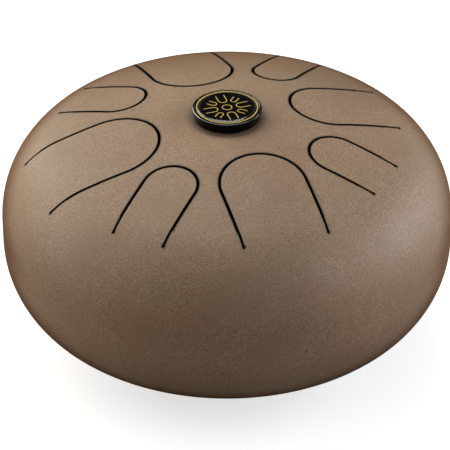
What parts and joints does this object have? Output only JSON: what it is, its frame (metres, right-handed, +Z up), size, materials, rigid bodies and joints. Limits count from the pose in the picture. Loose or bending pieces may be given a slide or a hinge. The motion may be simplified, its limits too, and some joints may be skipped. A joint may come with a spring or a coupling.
{
  "type": "steel tongue drum",
  "caption": "Hollow steel drum with tuned tongues cut round the top shell, sliding tuning magnets, a sound port and rubber feet.",
  "frame": {"origin": "centre of the drum's outline on the resting plane under its feet", "axes": "+Z up, opposite to the resting plane; -Y towards the player; +X to the player's right, along tongue 7"},
  "size_m": [0.3999, 0.4, 0.2308],
  "materials": {
    "shell_coat": "satin fine-texture powder coat, bronze brown",
    "tongue_coat": "satin fine-texture powder coat, bronze brown",
    "magnet_nickel": "nickel plated",
    "trim_rubber": "matt",
    "foot_rubber": "matt",
    "zinc_hardware": "bright zinc plated",
    "emblem_black": "polished",
    "emblem_insert": "printed insert with a gold-coloured line",
    "emblem_clear": "clear cast dome",
    "gasket_rubber": "closed-cell foam"
  },
  "bodies": {
    "drum": {"top_shell": "shell_coat", "seam_weld": "shell_coat", "bottom_shell": "shell_coat", "port_trim": "trim_rubber", "foot_front": "foot_rubber", "foot_rear_left": "foot_rubber", "foot_rear_right": "foot_rubber", "foot_inserts": "zinc_hardware", "foot_screws": "zinc_hardware", "foot_washers": "zinc_hardware", "foot_nuts": "zinc_hardware", "emblem_base": "emblem_black", "emblem_disc": "emblem_insert", "emblem_lens": "emblem_clear", "emblem_gasket": "gasket_rubber", "emblem_stud": "zinc_hardware", "emblem_washer": "zinc_hardware", "emblem_nut": "zinc_hardware"},
    "tongue_1": {"tongue_1": "tongue_coat"},
    "tuning_magnet_1": {"tuning_magnet_1": "magnet_nickel"},
    "tongue_2": {"tongue_2": "tongue_coat"},
    "tuning_magnet_2": {"tuning_magnet_2": "magnet_nickel"},
    "tongue_3": {"tongue_3": "tongue_coat"},
    "tuning_magnet_3": {"tuning_magnet_3": "magnet_nickel"},
    "tongue_4": {"tongue_4": "tongue_coat"},
    "tuning_magnet_4": {"tuning_magnet_4": "magnet_nickel"},
    "tongue_5": {"tongue_5": "tongue_coat"},
    "tuning_magnet_5": {"tuning_magnet_5": "magnet_nickel"},
    "tongue_6": {"tongue_6": "tongue_coat"},
    "tuning_magnet_6": {"tuning_magnet_6": "magnet_nickel"},
    "tongue_7": {"tongue_7": "tongue_coat"},
    "tuning_magnet_7": {"tuning_magnet_7": "magnet_nickel"},
    "tongue_8": {"tongue_8": "tongue_coat"},
    "tuning_magnet_8": {"tuning_magnet_8": "magnet_nickel"}
  },
  "joints": [
    {"name": "tongue_1_flex", "type": "hinge", "parent": "drum", "child": "tongue_1", "pos_m": [-0.00193, -0.15809, 0.19048], "axis": [0.9999, -0.0122, 0], "range_deg": [-0.2, 0.2], "stiffness_Nm_per_rad": 136.6},
    {"name": "magnet_1_slide", "type": "hinge", "parent": "tongue_1", "child": "tuning_magnet_1", "pos_m": [0, 0, -0.2446], "axis": [0.9999, -0.0122, 0], "range_deg": [-0.9, 3]},
    {"name": "tongue_2_flex", "type": "hinge", "parent": "drum", "child": "tongue_2", "pos_m": [-0.11745, -0.11461, 0.18835], "axis": [0.6984, -0.7157, 0], "range_deg": [-0.2, 0.2], "stiffness_Nm_per_rad": 55.1},
    {"name": "magnet_2_slide", "type": "hinge", "parent": "tongue_2", "child": "tuning_magnet_2", "pos_m": [0, 0, -0.2446], "axis": [0.6984, -0.7157, 0], "range_deg": [-0.9, 3]},
    {"name": "tongue_3_flex", "type": "hinge", "parent": "drum", "child": "tongue_3", "pos_m": [-0.17169, 0.0015, 0.17945], "axis": [-0.0087, -1, 0], "range_deg": [-0.2, 0.2], "stiffness_Nm_per_rad": 219.9},
    {"name": "magnet_3_slide", "type": "hinge", "parent": "tongue_3", "child": "tuning_magnet_3", "pos_m": [0, 0, -0.2446], "axis": [-0.0087, -1, 0], "range_deg": [-0.9, 3]},
    {"name": "tongue_4_flex", "type": "hinge", "parent": "drum", "child": "tongue_4", "pos_m": [-0.10877, 0.10916, 0.19392], "axis": [-0.7083, -0.7059, 0], "range_deg": [-0.2, 0.2], "stiffness_Nm_per_rad": 37.2},
    {"name": "magnet_4_slide", "type": "hinge", "parent": "tongue_4", "child": "tuning_magnet_4", "pos_m": [0, 0, -0.2446], "axis": [-0.7083, -0.7059, 0], "range_deg": [-0.9, 3]},
    {"name": "tongue_5_flex", "type": "hinge", "parent": "drum", "child": "tongue_5", "pos_m": [-0.00056, 0.1597, 0.18966], "axis": [-1, -0.0035, 0], "range_deg": [-0.2, 0.2], "stiffness_Nm_per_rad": 145},
    {"name": "magnet_5_slide", "type": "hinge", "parent": "tongue_5", "child": "tuning_magnet_5", "pos_m": [0, 0, -0.2446], "axis": [-1, -0.0035, 0], "range_deg": [-0.9, 3]},
    {"name": "tongue_6_flex", "type": "hinge", "parent": "drum", "child": "tongue_6", "pos_m": [0.10721, 0.10986, 0.19437], "axis": [-0.7157, 0.6984, 0], "range_deg": [-0.2, 0.2], "stiffness_Nm_per_rad": 33.8},
    {"name": "magnet_6_slide", "type": "hinge", "parent": "tongue_6", "child": "tuning_magnet_6", "pos_m": [0, 0, -0.2446], "axis": [-0.7157, 0.6984, 0], "range_deg": [-0.9, 3]},
    {"name": "tongue_7_flex", "type": "hinge", "parent": "drum", "child": "tongue_7", "pos_m": [0.14929, 0.00156, 0.19525], "axis": [-0.0105, 0.9999, 0], "range_deg": [-0.2, 0.2], "stiffness_Nm_per_rad": 94.7},
    {"name": "magnet_7_slide", "type": "hinge", "parent": "tongue_7", "child": "tuning_magnet_7", "pos_m": [0, 0, -0.2446], "axis": [-0.0105, 0.9999, 0], "range_deg": [-0.9, 3]},
    {"name": "tongue_8_flex", "type": "hinge", "parent": "drum", "child": "tongue_8", "pos_m": [0.10665, -0.10591, 0.19546], "axis": [0.7046, 0.7096, 0], "range_deg": [-0.2, 0.2], "stiffness_Nm_per_rad": 34.7},
    {"name": "magnet_8_slide", "type": "hinge", "parent": "tongue_8", "child": "tuning_magnet_8", "pos_m": [0, 0, -0.2446], "axis": [0.7046, 0.7096, 0], "range_deg": [-0.9, 3]}
  ]
}
